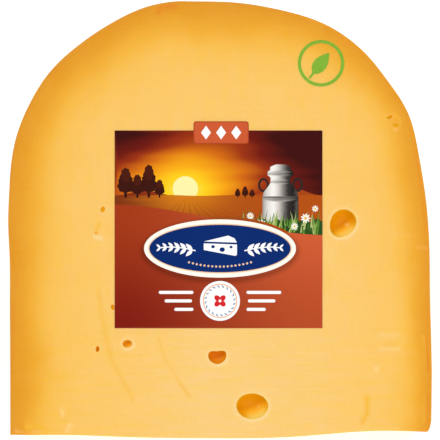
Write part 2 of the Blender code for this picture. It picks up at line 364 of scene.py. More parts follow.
class Outline:
    """Closed ring of points round a cut face: first the part that is rind, then the tip's edge."""

    def __init__(self):
        line = np.vstack([shoulder_line(LEFT_SHOULDER), shoulder_line(RIGHT_SHOULDER)[-2::-1]])
        line = swollen(line, SWELLS)
        line[:, 0] -= (line[:, 0].min() + line[:, 0].max()) / 2
        self.half_width = line[:, 0].max()
        line = swollen(line, SLIGHT_SWELLS)
        drawn = HEEL_DRAW * np.clip(1 - line[:, 1] / HEEL_HEIGHT, 0, None) ** 3
        line[:, 0] -= np.where(line[:, 0] > 0, drawn, 0)
        right_side = line[line[:, 0] > 0][::-1]
        corner_height = tip_height(self.half_width, self.half_width) + TIP_CORNER
        self.corner_u = np.interp(corner_height, right_side[:, 1], right_side[:, 0])
        line = line[line[:, 1] > self.tip(line[:, 0])]
        self.rind_line = resample(line, RING_STEP)
        around = self.wrapped(line)
        across = resample(self.tip_path(around[-1, 0], around[0, 0]), RING_STEP)[1:-1]
        self.ring = np.vstack([around, across])
        self.last_rind = len(around) - 1
        tangent = np.roll(self.ring, -1, axis=0) - np.roll(self.ring, 1, axis=0)
        tangent /= np.hypot(*tangent.T)[:, None]
        self.normal = np.c_[-tangent[:, 1], tangent[:, 0]]

    def wrapped(self, line):
        """The rind's line, carried a little way round both corners of the tip, and finer there."""
        left = self.tip_path(line[0, 0] + LEFT_WRAP, line[0, 0])
        right = self.tip_path(line[-1, 0], line[-1, 0] - RIGHT_WRAP)
        low = (line[:, 0] > 0) & (line[:, 1] < HEEL_HEIGHT)
        sides = resample(line[~low], RING_STEP)
        heel = np.vstack([sides[-1:], line[low], right])
        return np.vstack([resample(left, CORNER_STEP), sides[:-1], resample(heel, CORNER_STEP)])

    def tip(self, u):
        """Height v of the tip over u, with its right corner rounded."""
        past_corner = np.clip(u - (self.corner_u - TIP_CORNER), 0, TIP_CORNER)
        rounding = TIP_CORNER - np.sqrt(TIP_CORNER ** 2 - past_corner ** 2)
        return tip_height(u, self.half_width) + rounding

    def tip_path(self, start, end):
        u = np.linspace(start, end, TIP_POINTS)
        return np.c_[u, self.tip(u)]

    def turned(self, turn):
        """Reach from the axis of each ring point, turned down from the upper face by turn."""
        reach = TIP_RADIUS + self.ring[:, 1]
        held = 1 - smooth(self.ring[:, 1], *TIP_BLEND)
        return reach * (1 + held * (1 / np.cos(turn) - 1))


# Filling a flat loop with triangles, with the eyes pressed into it

def eye_rim(eye, around):
    """Rim of an eye round its middle."""
    x = np.cos(around) * (1 + eye.narrowing * np.sin(around))
    y = np.sin(around)
    upper = np.clip(y, 0, 1)
    x = np.where(y > 0, np.sign(x) * np.abs(x) ** (1 - SQUARING * eye.flat_top), x)
    notch = NOTCH * np.exp(-(x / NOTCH_WIDTH) ** 2) * (y > 0)
    y = y * (1 - eye.flat_top * (upper ** 2 + notch))
    return moved(np.c_[x * eye.width / 2, y * eye.height / 2], 0, 0, math.radians(eye.turn))


class Patch:
    """Points of one eye: where they lie in the flat sheet, where they end, and their values.

    The values are the columns lift, sunk, glow and lit: sunk sets the painted shade of a bowl, glow the
    painted highlight of its lips and glints, and lit the painted light on a bowl's lit side.
    """

    GLOW_COLUMN = 2

    def __init__(self, eye):
        self.eye = eye
        self.middle = np.array([eye.u, eye.v])
        self.large = max(eye.width, eye.height) > LARGE_EYE
        rings, count = LARGE_MESH if self.large else SMALL_MESH
        self.rim = eye_rim(eye, np.linspace(0, TAU, count, endpoint=False))
        self.size = np.hypot(*self.rim.T)[:, None]
        # How far each rim point lies on the painted lit side; small eyes get none
        self.facing = smooth((self.rim / self.size) @ LIT_SIDE, -0.1, 1.0) * self.large
        rows = [(self.middle[None], self.middle[None], -eye.depth, eye.tone, 0.0, 0.0)]
        rows += [self.bowl_row(k / rings) for k in range(1, rings + 1)]
        rows += [self.lip_row(*ring) for ring in LIP_RINGS]
        self.flat = np.vstack([row[0] for row in rows])
        self.final = np.vstack([row[1] for row in rows])
        self.values = np.vstack([
            np.column_stack([np.broadcast_to(value, len(row[0])) for value in row[2:]]) for row in rows])
        if self.large and eye.tone < GLINT["last_tone"]:
            self.add_glint()
        self.outer = rows[-1][0]
        self.edges = []
        for start in range(1, len(self.flat), count):
            ids = start + np.arange(count)
            self.edges.extend(zip(ids, np.roll(ids, -1)))

    def bowl_row(self, share):
        """Ring of the bowl, with a share of 0 at its bottom and 1 at its rim."""
        tone = self.eye.tone
        polar = EYE_OPENING * share
        reach = math.sin(polar) / math.sin(EYE_OPENING)
        sunk = (math.cos(polar) - math.cos(EYE_OPENING)) / (1 - math.cos(EYE_OPENING))
        # Painted light on the lit wall of the bowl, less for the deepest tones
        lit = self.facing * smooth(reach, -0.05, 1.0) * (1 - DULL_SHARE * smooth(tone, *DULL_TONES))
        # Painted shade: the hue grows deeper orange further down the bowl, as the shade inside a hollow
        even = EVEN_SHARE * smooth(tone, *EVEN_TONES)
        hue = tone * (even + (1 - even) * max(sunk, RIM_HUE))
        return (self.middle + self.rim * share, self.middle + self.rim * reach, -self.eye.depth * sunk,
                hue, 0.0, lit)

    def lip_row(self, gap, rise, glow):
        """Ring of the lip, at a gap from the rim."""
        lip = 1.0 if self.large else SMALL_LIP
        ring = self.middle + self.rim * (1 + gap * lip / self.size)
        glow_share = 1.0 if self.large else 0.15 + 0.5 * self.eye.tone
        # Painted highlight on the pale lip, stronger on the painted lit side
        painted_lip_highlight = glow * glow_share * (0.5 + 0.5 * self.facing)
        return (ring, ring, rise * lip, 0.0, painted_lip_highlight, self.facing)

    def add_glint(self):
        """Painted glint: a pale spot painted where an eye would catch the light."""
        offset = (GLINT["right"] * self.eye.width / 2, GLINT["up"] * self.eye.height / 2)
        near = np.hypot(*(self.final - self.middle - offset).T)
        strength = GLINT["strength"] * smooth(self.eye.tone, *GLINT["tones"])
        self.values[:, self.GLOW_COLUMN] += strength * np.exp(-(near / GLINT["size"]) ** 2)


class Sheet:
    """Triangles over a closed flat loop: finer round its eyes, and with points along its streaks.

    The loop's own points come first. The values have the columns of a patch.
    """

    def __init__(self, loop, eyes, spacing, streaks=()):
        patches = [Patch(eye) for eye in eyes]
        seams = self.seam_points(streaks)
        plain = np.vstack([seams, self.hex_points(loop, patches, seams, spacing)])
        self.flat = np.vstack([loop] + [patch.flat for patch in patches] + [plain])
        final = np.vstack([loop] + [patch.final for patch in patches] + [plain])
        values = np.vstack([patch.values for patch in patches] + [np.zeros((len(plain), 4))])
        self.new_points = final[len(loop):]
        self.lift, self.sunk, self.glow, self.lit = values.T
        edges = [(i, (i + 1) % len(loop)) for i in range(len(loop))]
        start = len(loop)
        for patch in patches:
            edges.extend((int(a) + start, int(b) + start) for a, b in patch.edges)
            start += len(patch.flat)
        self.faces = triangles(self.flat, edges)

    @staticmethod
    def seam_points(streaks):
        """Points along both sides and the middle of each streak."""
        rows = [np.zeros((0, 2))]
        for half_width, _, path in streaks:
            line = resample(path, STREAK_STEP)
            along = np.gradient(line, axis=0)
            across = np.c_[-along[:, 1], along[:, 0]] / np.hypot(*along.T)[:, None]
            rows.extend(line + across * shift * half_width for shift in (-0.8, 0.0, 0.8))
        return np.vstack(rows)

    @staticmethod
    def hex_points(loop, patches, seams, spacing):
        """Hexagonal lattice inside a loop, clear of its edge, its patches and its seams."""
        low, high = loop.min(axis=0), loop.max(axis=0)
        rise = spacing * math.sqrt(3) / 2
        rows = []
        for i, y in enumerate(np.arange(low[1], high[1], rise)):
            x = np.arange(low[0] + (i % 2) * spacing / 2, high[0], spacing)
            rows.append(np.c_[x, np.full(len(x), y)])
        points = np.vstack(rows)
        points = points[inside(points, loop)]
        points = points[distance_to(points, closed(loop)) > spacing * EDGE_ROOM]
        for patch in patches:
            near = distance_to(points, closed(patch.outer)) < spacing * EYE_ROOM
            points = points[~(inside(points, patch.outer) | near)]
        for seam in seams:
            points = points[np.hypot(*(points - seam).T) > spacing * STREAK_ROOM]
        return points


def triangles(flat, edges):
    """Triangles that join flat points inside their outermost edges, as indices into flat."""
    found = delaunay_2d_cdt([Vector(point) for point in flat], edges, [], 1, 1e-6)
    names = [source[0] for source in found[3]]
    return [tuple(names[i] for i in face) for face in found[2]]


def set_values(mesh, name, kind, values, domain="POINT"):
    """Stores values on a mesh's points or corners."""
    field = {"FLOAT": "value", "FLOAT_VECTOR": "vector", "FLOAT_COLOR": "color"}[kind]
    layer = mesh.attributes.new(name, kind, domain)
    layer.data.foreach_set(field, np.asarray(values, dtype="f").ravel())


def add_object(name, data, *materials):
    """Puts a mesh, light or camera in the scene."""
    made = bpy.data.objects.new(name, data)
    bpy.context.scene.collection.objects.link(made)
    for material in materials:
        data.materials.append(material)
    return made


def stand_for(piece, node):
    """Hides the node that a piece replaces, and lets the piece ride on the one body."""
    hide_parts(node)
    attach(piece, "root")


# The skin of the cheese

class Skin:
    """Points, surface values and faces, gathered piece by piece."""

    # sunk carries the painted shade of the eyes' bowls, glow their painted highlights, and lit the painted
    # light on their lit side
    VALUES = ("rind_distance", "sunk", "glow", "lit", "streak")

    def __init__(self):
        self.points = []
        self.values = []
        self.places = []
        self.faces = []
        self.slots = []
        self.count = 0

    def add(self, points, places, **values):
        """Adds points with their flat places and values, and gives their ids."""
        ids = np.arange(self.count, self.count + len(points))
        self.points.append(points)
        self.places.append(places)
        columns = [np.broadcast_to(values.get(name, 0.0), len(points)) for name in self.VALUES]
        self.values.append(np.column_stack(columns))
        self.count += len(points)
        return ids

    def strip(self, upper, lower, slot):
        """Quads between two rows of ids."""
        for a, b, c, d in zip(upper[:-1], upper[1:], lower[1:], lower[:-1]):
            self.faces.append((int(a), int(b), int(c), int(d)))
            self.slots.append(slot)

    def add_sheet(self, sheet, ids, points, page, rind_distance, streak=0.0, flip=False):
        """Triangles of a sheet: ids are its loop's points, and points are its new ones."""
        added = self.add(points, tagged(sheet.new_points, page), rind_distance=rind_distance,
                         sunk=sheet.sunk, glow=sheet.glow, lit=sheet.lit, streak=streak)
        ids = np.r_[ids, added]
        for face in sheet.faces:
            corners = [int(ids[i]) for i in face]
            self.faces.append(tuple(reversed(corners)) if flip else tuple(corners))
            self.slots.append(PASTE)

    def mesh(self, name):
        mesh = bpy.data.meshes.new(name)
        mesh.from_pydata(np.vstack(self.points).tolist(), [], self.faces)
        mesh.polygons.foreach_set("material_index", self.slots)
        values = np.vstack(self.values)
        for i, value in enumerate(self.VALUES):
            set_values(mesh, value, "FLOAT", values[:, i])
        set_values(mesh, "cut_place", "FLOAT_VECTOR", np.vstack(self.places))
        mesh.shade_smooth()
        return mesh


def cut_waves(points, page):
    """Slight waves of a cut face."""
    broad = noise_at(points, BROAD_WAVE, page)
    wire = noise_at(points * WIRE_STRETCH, WIRE_WAVE, page + WIRE_SHIFT)
    return WAVE_HEIGHT * (broad + WIRE_SHARE * wire)


def streak_values(points, streaks):
    """Sum of the strengths of the streaks at each point."""
    value = np.zeros(len(points))
    for half_width, strength, path in streaks:
        near = distance_to(points, resample(path, STREAK_STEP))
        value += strength * np.exp(-(near / half_width) ** 2)
    return value


def rind_depth(points, rind_line):
    """Distance from the rind, as the paste's colour feels it: more on the right, and most low there."""
    gap = distance_to(points, rind_line)
    v = points[:, 1]
    right = smooth(points[:, 0], 5, 40)
    slope = 0.3 + 0.2 * (1 - smooth(v, 20, 60)) - 0.18 * smooth(v, 80, 108)
    return gap * (1 + slope * right - 0.06 * smooth(v, 60, 110)) + right


def tagged(points, page):
    """Flat places with a page number, so that each face has a pattern of its own."""
    return np.c_[points, np.full(len(points), page)]


def add_cut_face(skin, outline, loop, ids, angle, side, eyes, spacing, page, streaks=()):
    """One radial cut face. side is 1 for the upper face and -1 for the lower one."""
    sheet = Sheet(loop, eyes, spacing, streaks)
    final = sheet.new_points
    to_edge = distance_to(final, closed(loop))
    marks = streak_values(final, streaks)
    waves = cut_waves(final, page) - (WAVE_HEIGHT if side < 0 else 0.0)
    lift = sheet.lift + waves * smooth(to_edge, *WAVE_FADE)
    lift = lift - GROOVE * np.clip(marks, 0, None) * smooth(to_edge, *GROOVE_FADE)
    if side < 0:
        lift = np.minimum(lift, 0.0)
    points = place(final[:, 0], TIP_RADIUS + final[:, 1], angle, side * lift)
    skin.add_sheet(sheet, ids, points, page, rind_depth(final, outline.rind_line), marks, side < 0)


def rind_relief(points):
    """Unevenness of the rind at points in metres."""
    return sum(height * noise_at(points / MM, size, shift) for size, height, shift in RIND_WAVES)


def fillet_row(outline, reach, angle, side, inset, drop):
    """World points and flat places of a row of the rounding beside a cut face."""
    u = outline.ring[:, 0] - inset * outline.normal[:, 0]
    v = reach - inset * outline.normal[:, 1]
    return place(u, v, angle, -side * drop), np.c_[u, v - TIP_RADIUS]


def turned_row(outline, turn, share):
    """World points of a row below the upper face, with a share of the rind's unevenness."""
    u, v = outline.ring.T
    reach = outline.turned(turn)
    bulge = rind_relief(place(u, reach, WEDGE_ANGLE - turn, 0.0)) * share
    on_rind = np.arange(len(u)) <= outline.last_rind
    bulge = np.where(on_rind, bulge, 0.0) * smooth(v, *HEEL_FADE)
    return place(u + bulge * outline.normal[:, 0], reach + bulge * outline.normal[:, 1],
                 WEDGE_ANGLE - turn, 0.0)


def add_sides(skin, outline):
    """Rows of points from the upper face round the rind and tip to the lower face."""
    reach = TIP_RADIUS + outline.ring[:, 1]
    base = outline.turned(WEDGE_ANGLE)
    first = ARRIS / reach
    last = WEDGE_ANGLE - ARRIS / base
    upper = [fillet_row(outline, reach, WEDGE_ANGLE, 1, *inset) for inset in FILLET]
    lower = [fillet_row(outline, base, 0.0, -1, *inset) for inset in reversed(FILLET)]
    points = [row for row, _ in upper]
    for k in range(TURN_ROWS + 1):
        turn = first + (last - first) * k / TURN_ROWS
        points.append(turned_row(outline, turn, smooth(min(k, TURN_ROWS - k), *ROW_FADE)))
    points += [row for row, _ in lower]
    places = tagged(outline.ring, EDGE_PAGE)
    depth = rind_depth(outline.ring, outline.rind_line)
    rows = [skin.add(row, places, rind_distance=depth) for row in points]
    join_sides(skin, outline, rows)
    return rows, upper[0][1], lower[-1][1]


def join_sides(skin, outline, rows):
    """Quads of the rind and of both roundings; the tip's face has triangles of its own."""
    rind = slice(0, outline.last_rind + 1)
    tip = slice(outline.last_rind, None)
    for upper, lower, slot in ((0, 1, PASTE), (1, 2, RIND), (-3, -2, RIND), (-2, -1, PASTE)):
        skin.strip(rows[upper][rind], rows[lower][rind], slot)
        skin.strip(closed(rows[upper])[tip], closed(rows[lower])[tip], PASTE)
    for upper, lower in zip(rows[2:-3], rows[3:-2]):
        skin.strip(upper[rind], lower[rind], RIND)


def add_tip_face(skin, outline, rows):
    """Face of the trimmed tip, between the first and last rows of the sides."""
    last = outline.last_rind
    tops, bottoms = rows[2], rows[-3]
    sides = rows[2:-2]
    across = np.r_[np.arange(last, len(outline.ring)), 0]

    def height_of(ids):
        """Heights square to the upper face, under 0 below it."""
        points = np.vstack(skin.points)[ids] / MM
        return points[:, 2] * math.cos(WEDGE_ANGLE) - (points[:, 1] - AXIS_Y) * math.sin(WEDGE_ANGLE)

    left = np.array([0])
    right = np.array([last])
    pieces = [(across, tops)]
    pieces += [(left, row) for row in sides[1:-1]]
    pieces += [(across[::-1], bottoms)]
    pieces += [(right, row) for row in sides[-2:0:-1]]
    loop = np.vstack([np.c_[outline.ring[ids, 0], height_of(row[ids])] for ids, row in pieces])
    loop_ids = np.concatenate([row[ids] for ids, row in pieces])
    sheet = Sheet(loop, TIP_EYES, TIP_SPACING)
    final = sheet.new_points
    to_edge = distance_to(final, closed(loop))
    lift = sheet.lift + TIP_WAVE_SHARE * cut_waves(final, TIP_PAGE) * smooth(to_edge, *TIP_FADE)
    reach = TIP_RADIUS + outline.tip(final[:, 0]) - lift
    points = place(final[:, 0], reach, WEDGE_ANGLE, final[:, 1])
    skin.add_sheet(sheet, loop_ids, points, TIP_PAGE, outline.half_width - np.abs(final[:, 0]))


def build_cheese():
    outline = Outline()
    skin = Skin()
    rows, upper_loop, lower_loop = add_sides(skin, outline)
    add_tip_face(skin, outline, rows)
    add_cut_face(skin, outline, upper_loop, rows[0], WEDGE_ANGLE, 1, UPPER_EYES, UPPER_SPACING,
                 UPPER_PAGE, STREAKS)
    add_cut_face(skin, outline, lower_loop, rows[-1], 0.0, -1, LOWER_EYES, LOWER_SPACING, LOWER_PAGE)
    mesh = skin.mesh("cheese_paste_and_rind")
    cheese = add_object("cheese_paste_and_rind", mesh, paste_material(), rind_material())
    stand_for(cheese, "cheese")


# Materials

class Graph:
    """A material's nodes, made one at a time and linked by their sockets."""

    def __init__(self, name):
        self.material = bpy.data.materials.new(name)
        self.material.use_nodes = True
        self.tree = self.material.node_tree
        self.shader = self.tree.nodes["Principled BSDF"]

    def node(self, kind, output, links, **settings):
        """Output of a new node with some settings, and with values or sockets joined to its inputs."""
        made = self.tree.nodes.new("ShaderNode" + kind)
        for key, value in settings.items():
            setattr(made, key, value)
        for key, value in links.items():
            self.join(value, made.inputs[key])
        return made.outputs[output]

    def join(self, value, socket):
        if isinstance(value, bpy.types.NodeSocket):
            self.tree.links.new(value, socket)
        else:
            socket.default_value = value

    def value(self, name):
        return self.node("Attribute", "Fac", {}, attribute_name=name)

    def vector(self, name, scale=(1.0, 1.0, 1.0)):
        source = self.node("Attribute", "Vector", {}, attribute_name=name)
        return self.node("Mapping", "Vector", {"Vector": source, "Scale": scale})

    def solid(self, scale=(1.0, 1.0, 1.0)):
        """Object coordinates in millimetres."""
        source = self.node("TexCoord", "Object", {})
        size = tuple(part / MM for part in scale)
        return self.node("Mapping", "Vector", {"Vector": source, "Scale": size})

    def noise(self, vector, scale, detail=2.0, roughness=0.5):
        links = {"Vector": vector, "Scale": scale, "Detail": detail, "Roughness": roughness}
        return self.node("TexNoise", "Fac", links)

    def math(self, operation, first, second, clamp=False):
        return self.node("Math", "Value", {0: first, 1: second}, operation=operation, use_clamp=clamp)

    def times(self, first, second, clamp=False):
        return self.math("MULTIPLY", first, second, clamp)

    def plus(self, first, second):
        return self.math("ADD", first, second)

    def spread(self, value, low, high, bottom=0.0, top=1.0):
        """A value from low to high, spread from bottom to top."""
        links = {"Value": value, "From Min": low, "From Max": high, "To Min": bottom, "To Max": top}
        return self.node("MapRange", "Result", links)

    def ramp(self, value, stops):
        colour = self.node("ValToRGB", "Color", {"Fac": value})
        elements = colour.node.color_ramp.elements
        while len(elements) < len(stops):
            elements.new(0.5)
        for element, (position, code) in zip(elements, stops):
            element.position = position
            element.color = rgba(code)
        return colour

    def blend(self, share, first, second, kind="MIX"):
        links = {"Factor": share, "A": first, "B": second}
        return self.node("Mix", "Result", links, data_type="RGBA", blend_type=kind)

    def over(self, colour, code, share):
        """A colour with a share of another laid over it."""
        return self.blend(share, colour, rgba(code))

    def bump(self, height, distance, strength=1.0):
        links = {"Height": height, "Distance": distance, "Strength": strength}
        return self.node("Bump", "Normal", links)

    def finish(self, colour, roughness, normal=None, **fixed):
        self.join(colour, self.shader.inputs["Base Color"])
        self.join(roughness, self.shader.inputs["Roughness"])
        if normal is not None:
            self.join(normal, self.shader.inputs["Normal"])
        for key, value in fixed.items():
            self.shader.inputs[key.replace("_", " ")].default_value = value
        return self.material


# Colour of the paste against the distance from the rind, in millimetres
PASTE_DEPTH = 56.0
PASTE_STOPS = [
    (0.0, "#DE9831"), (0.5, "#E19929"), (1.5, "#E59B27"), (4.0, "#EAA32E"), (6.5, "#F1AF38"),
    (9.5, "#F7BD4F"), (13.0, "#FBC664"), (18.0, "#FBCA70"), (30.0, "#FCCD7A"), (52.0, "#FCD28D"),
]
# Heights between which the soft strokes of the paste turn from across to upward
STROKE_TURN = (22.0, 40.0)


def ripe_colour(graph, distance, flat, wire):
    """Plain paste: deeper near the rind, with clouds, grain, soft strokes and the wire's lines."""
    wander = graph.spread(graph.noise(flat, 0.05, 3.0), 0.3, 0.7, -1.6, 1.6)
    depth = graph.plus(distance, graph.times(wander, graph.spread(distance, 0.0, 9.0)))
    share = graph.math("DIVIDE", depth, PASTE_DEPTH, clamp=True)
    colour = graph.ramp(share, [(at / PASTE_DEPTH, code) for at, code in PASTE_STOPS])
    cloud = graph.noise(flat, 0.11, 4.0, 0.6)
    colour = graph.over(colour, "#F6BC55", graph.spread(cloud, 0.3, 0.7, 0.0, 0.16))
    grain = graph.ramp(graph.noise(flat, 1.6, 3.0, 0.6), [(0.35, "#FDFBF1"), (0.65, "#FFFFFF")])
    colour = graph.blend(1.0, colour, grain, "MULTIPLY")
    upward = graph.noise(graph.vector("cut_place", (0.4, 0.15, 1.0)), 1.0, 2.0, 0.6)
    across = graph.noise(graph.vector("cut_place", (0.1, 0.5, 1.0)), 1.0, 3.0, 0.65)
    height = graph.node("SeparateXYZ", "Y", {"Vector": flat})
    strokes = graph.blend(graph.spread(height, *STROKE_TURN), across, upward)
    tint = graph.ramp(strokes, [(0.36, "#FFFFFF"), (0.64, "#FFFDDA")])
    colour = graph.blend(graph.spread(height, *STROKE_TURN, 0.9, 0.6), colour, tint, "MULTIPLY")
    return graph.over(colour, "#F3B54F", graph.spread(wire, 0.56, 0.72, 0.0, 0.12))


def marked_colour(graph, colour, distance, streak):
    """The paste with its grooves and grazes, and the frayed line beside the rind."""
    groove = graph.blend(graph.spread(distance, 2.5, 4.5), rgba("#E58A24"), rgba("#F7BC3C"))
    colour = graph.blend(graph.times(streak, 0.9, clamp=True), colour, groove)
    graze = graph.blend(graph.spread(distance, 6.0, 14.0), rgba("#FFC470"), rgba("#FFDC9E"))
    colour = graph.blend(graph.times(streak, -0.7, clamp=True), colour, graze)
    fray = graph.noise(graph.vector("cut_place", (1.0, 0.25, 1.0)), 0.3, 3.0)
    frayed = graph.math("SUBTRACT", distance, graph.spread(fray, 0.45, 0.7, -0.6, 2.1))
    return graph.over(colour, "#E0902E", graph.spread(frayed, -0.6, 0.3, 0.55, 0.0))


def eye_colour(graph, colour, sunk, glow, lit):
    """The paste with the bowls of its eyes, in painted shade that deepens down them and with painted light
    on their lit side, and the pale lips round them, painted highlight with the glints.
    """
    # Painted shade: deeper, redder orange further down a bowl
    bowl = graph.ramp(sunk, [(0.0, "#F0B42C"), (0.1, "#EEB30E"), (0.3, "#EE9F06"), (0.6, "#EC9C04"),
                             (0.85, "#E4840A"), (1.0, "#E27A0A")])
    # Painted light: the lit wall of a bowl turns a paler yellow
    painted_lit_colour = graph.ramp(lit, [(0.0, "#FABA26"), (0.6, "#FFD442"), (1.0, "#FFE374")])
    bowl = graph.blend(lit, bowl, painted_lit_colour)
    colour = graph.blend(graph.spread(sunk, 0.0, 0.07), colour, bowl)
    # Painted highlight: the pale lips and the glints
    return graph.over(colour, "#FFE0AC", graph.times(glow, 0.6))


def paste_material():
    graph = Graph("cheese_paste")
    distance, sunk, glow, lit, streak = [graph.value(name) for name in Skin.VALUES]
    flat = graph.vector("cut_place")
    wire = graph.noise(graph.vector("cut_place", (0.02, 1.1, 1.0)), 1.0, 2.0)
    colour = ripe_colour(graph, distance, flat, wire)
    colour = marked_colour(graph, colour, distance, streak)
    colour = eye_colour(graph, colour, sunk, glow, lit)

    fine = graph.noise(flat, 2.6, 4.0, 0.65)
    pits = graph.spread(graph.noise(flat, 0.9, 2.0), 0.66, 0.74, 0.0, -1.2)
    height = graph.plus(graph.times(wire, 0.5), graph.plus(fine, pits))
    normal = graph.bump(height, 0.03 * MM, 0.25)
    roughness = graph.spread(graph.noise(flat, 0.4, 2.0), 0.3, 0.7, 0.42, 0.56)
    roughness = graph.math("SUBTRACT", roughness, graph.times(sunk, 0.08))
    return graph.finish(
        colour, roughness, normal, Subsurface_Weight=0.18, Subsurface_Radius=(1.0, 0.5, 0.15),
        Subsurface_Scale=1.6 * MM, Specular_IOR_Level=0.07)


def thread(graph, vector, direction):
    """Wavy print of one set of threads of the mould's cloth."""
    links = {"Vector": vector, "Scale": 0.22, "Distortion": 1.2, "Detail Scale": 0.4}
    return graph.node("TexWave", "Fac", links, bands_direction=direction)


def rind_material():
    graph = Graph("cheese_rind")
    place_mm = graph.solid()
    broad = graph.spread(graph.noise(place_mm, 0.045, 4.0, 0.6), 0.3, 0.7)
    colour = graph.ramp(broad, [(0.0, "#D2841C"), (0.45, "#DE9626"), (1.0, "#E8A632")])
    mottle = graph.noise(place_mm, 0.5, 4.0, 0.7)
    colour = graph.over(colour, "#C2701C", graph.spread(mottle, 0.45, 0.75, 0.0, 0.2))
    scuff = graph.noise(graph.solid((0.3, 0.5, 0.12)), 1.0, 5.0, 0.7)
    colour = graph.over(colour, "#F0C27A", graph.spread(scuff, 0.62, 0.75, 0.0, 0.4))
    speck = graph.noise(place_mm, 1.7, 1.0)
    colour = graph.over(colour, "#9C5412", graph.spread(speck, 0.74, 0.8, 0.0, 0.5))

    weave = graph.times(thread(graph, place_mm, "X"), thread(graph, graph.solid((1.0, 0.35, 1.0)), "Z"))
    skin = graph.noise(place_mm, 0.8, 5.0, 0.65)
    normal = graph.bump(graph.plus(graph.times(weave, 0.2), skin), 0.18 * MM, 0.7)
    roughness = graph.spread(skin, 0.3, 0.7, 0.30, 0.46)
    return graph.finish(
        colour, roughness, normal, Subsurface_Weight=0.1, Subsurface_Radius=(1.0, 0.45, 0.1),
        Subsurface_Scale=1.0 * MM, Specular_IOR_Level=0.16, Coat_Weight=0.08, Coat_Roughness=0.22)


# Flat artwork: painted layers, each a polygon and its colour

def ellipse(x, y, half_x, half_y, steps=64, turn=0.0):
    around = np.linspace(0, TAU, steps, endpoint=False)
    return moved(np.c_[half_x * np.cos(around), half_y * np.sin(around)], x, y, turn)


def rounded_box(left, bottom, right, top, radius, steps=6):
    corners = [(right - radius, bottom + radius, -90), (right - radius, top - radius, 0),
               (left + radius, top - radius, 90), (left + radius, bottom + radius, 180)]
    quarter = np.radians(np.linspace(0, 90, steps))
    arc = radius * np.c_[np.cos(quarter), np.sin(quarter)]
    return np.vstack([moved(arc, x, y, math.radians(start)) for x, y, start in corners])


def leaf_shape(length, width, steps=14):
    """Pointed leaf from its stalk's end at (0, 0) to its tip at (length, 0)."""
    along = np.linspace(0, 1, steps)
    swell = np.sin(math.pi * along ** 0.8).clip(0) ** 0.9 * width / 2
    upper = np.c_[along * length, swell]
    return np.vstack([upper * (1, -1), upper[-2:0:-1]])


def under_curve(height, left, right, bottom, steps=60):
    """Area from bottom up to the curve height(x)."""
    x = np.linspace(left, right, steps)
    return np.vstack([(right, bottom), (left, bottom), np.c_[x, height(x)]])


def mixed(first, second, share):
    share = np.clip(np.asarray(share, dtype=float), 0, 1)[..., None]
    return linear(first) * (1 - share) + linear(second) * share


def ramp_colours(share, stops):
    positions = [stop[0] for stop in stops]
    colours = np.array([linear(stop[1]) for stop in stops])
    return np.column_stack([np.interp(share, positions, colours[:, i]) for i in range(3)])


# Places and sizes of the artwork, in millimetres round the label's middle
PICTURE_TOP = LABEL_HEIGHT / 2 - PAPER_EDGE
PICTURE_SIDE = LABEL_WIDTH / 2 - PAPER_EDGE
HORIZON = 9.2
SUN = (-9.0, 11.0)
SUN_RADIUS = 3.4
GLOW_SPREAD = (14.5, 9.6)
SKY_STOPS = [(0.0, "#FFE85A"), (0.35, "#FFD21C"), (0.7, "#F7A512"), (1.1, "#D8700F"),
             (1.5, "#9E330F"), (1.9, "#6E160D"), (2.5, "#3E0B0A")]
# Ridges on the horizon: left, right, rise, colour
RIDGES = [(8.0, PICTURE_SIDE, 2.6, "#A8430F"), (-PICTURE_SIDE, -12.0, 1.3, "#8A3010")]
FURROWS = 9
# Trees: x, height, half width. Crowns of each: share of its height, size, colour
TREES = [(-25.2, 7.6, 2.2), (-22.0, 5.9, 1.8), (-18.9, 8.4, 2.1), (-16.0, 4.6, 1.4),
         (5.2, 2.3, 0.8), (7.2, 2.9, 0.9), (9.1, 2.1, 0.8)]
TREE_CROWNS = [(0.42, 1.0, "#3C120A"), (0.62, 0.86, "#3C120A"), (0.8, 0.6, "#4A180C")]
CHURN_X = 16.8
CHURN_FOOT = 0.4
CHURN_PROFILE = [(4.5, 0.0), (4.9, 0.7), (4.9, 8.2), (4.6, 9.6), (3.2, 11.4), (2.7, 12.2), (2.7, 13.6),
                 (3.5, 14.3), (3.5, 15.2), (2.9, 15.6), (2.7, 16.6), (1.2, 17.2)]
CHURN_BANDS = [(1.2, 4.9), (8.0, 4.9), (12.2, 2.7), (14.4, 3.5)]
CHURN_STOPS = [(0.0, "#8E8780"), (0.12, "#D9D3CB"), (0.3, "#FBF8F2"), (0.44, "#D8D0C8"),
               (0.56, "#8B8580"), (0.68, "#3A3534"), (0.86, "#1A1718"), (0.95, "#5A534E"),
               (1.0, "#2A2626")]
GREENS = ["#24451A", "#3B6A24", "#5C8C33", "#86A84C", "#B7C27A"]
BLADES = 120
# Daisies: x, y, size
DAISIES = [(8.6, 3.6, 1.0), (11.6, 1.4, 1.25), (23.6, 3.0, 1.3), (26.2, 5.6, 0.9), (20.6, 0.8, 1.0)]
PETALS = 9
PLATE = (0.4, -5.2)
PLATE_SIZE = (20.6, 7.9)
PLATE_SHADOW = [(1.5, 0.9), (1.0, 0.78), (0.5, 0.64)]
# The plate's emblem, a wedge of cheese: its two shown faces, and its eyes as x, y and size
EMBLEM_FACES = [[(-4.4, -0.6), (4.2, -2.2), (4.6, -1.9), (4.6, 0.9), (-4.4, 1.2)],
                [(-4.4, 1.7), (4.6, 1.4), (3.9, 2.6), (2.2, 3.3)]]
EMBLEM_EYES = [(-1.9, 0.3, 0.5), (0.6, -0.5, 0.72), (3.0, 0.2, 0.42)]
SEAL = (0.4, -19.4)
SEAL_RADIUS = 5.4
SEAL_LEAVES = 20
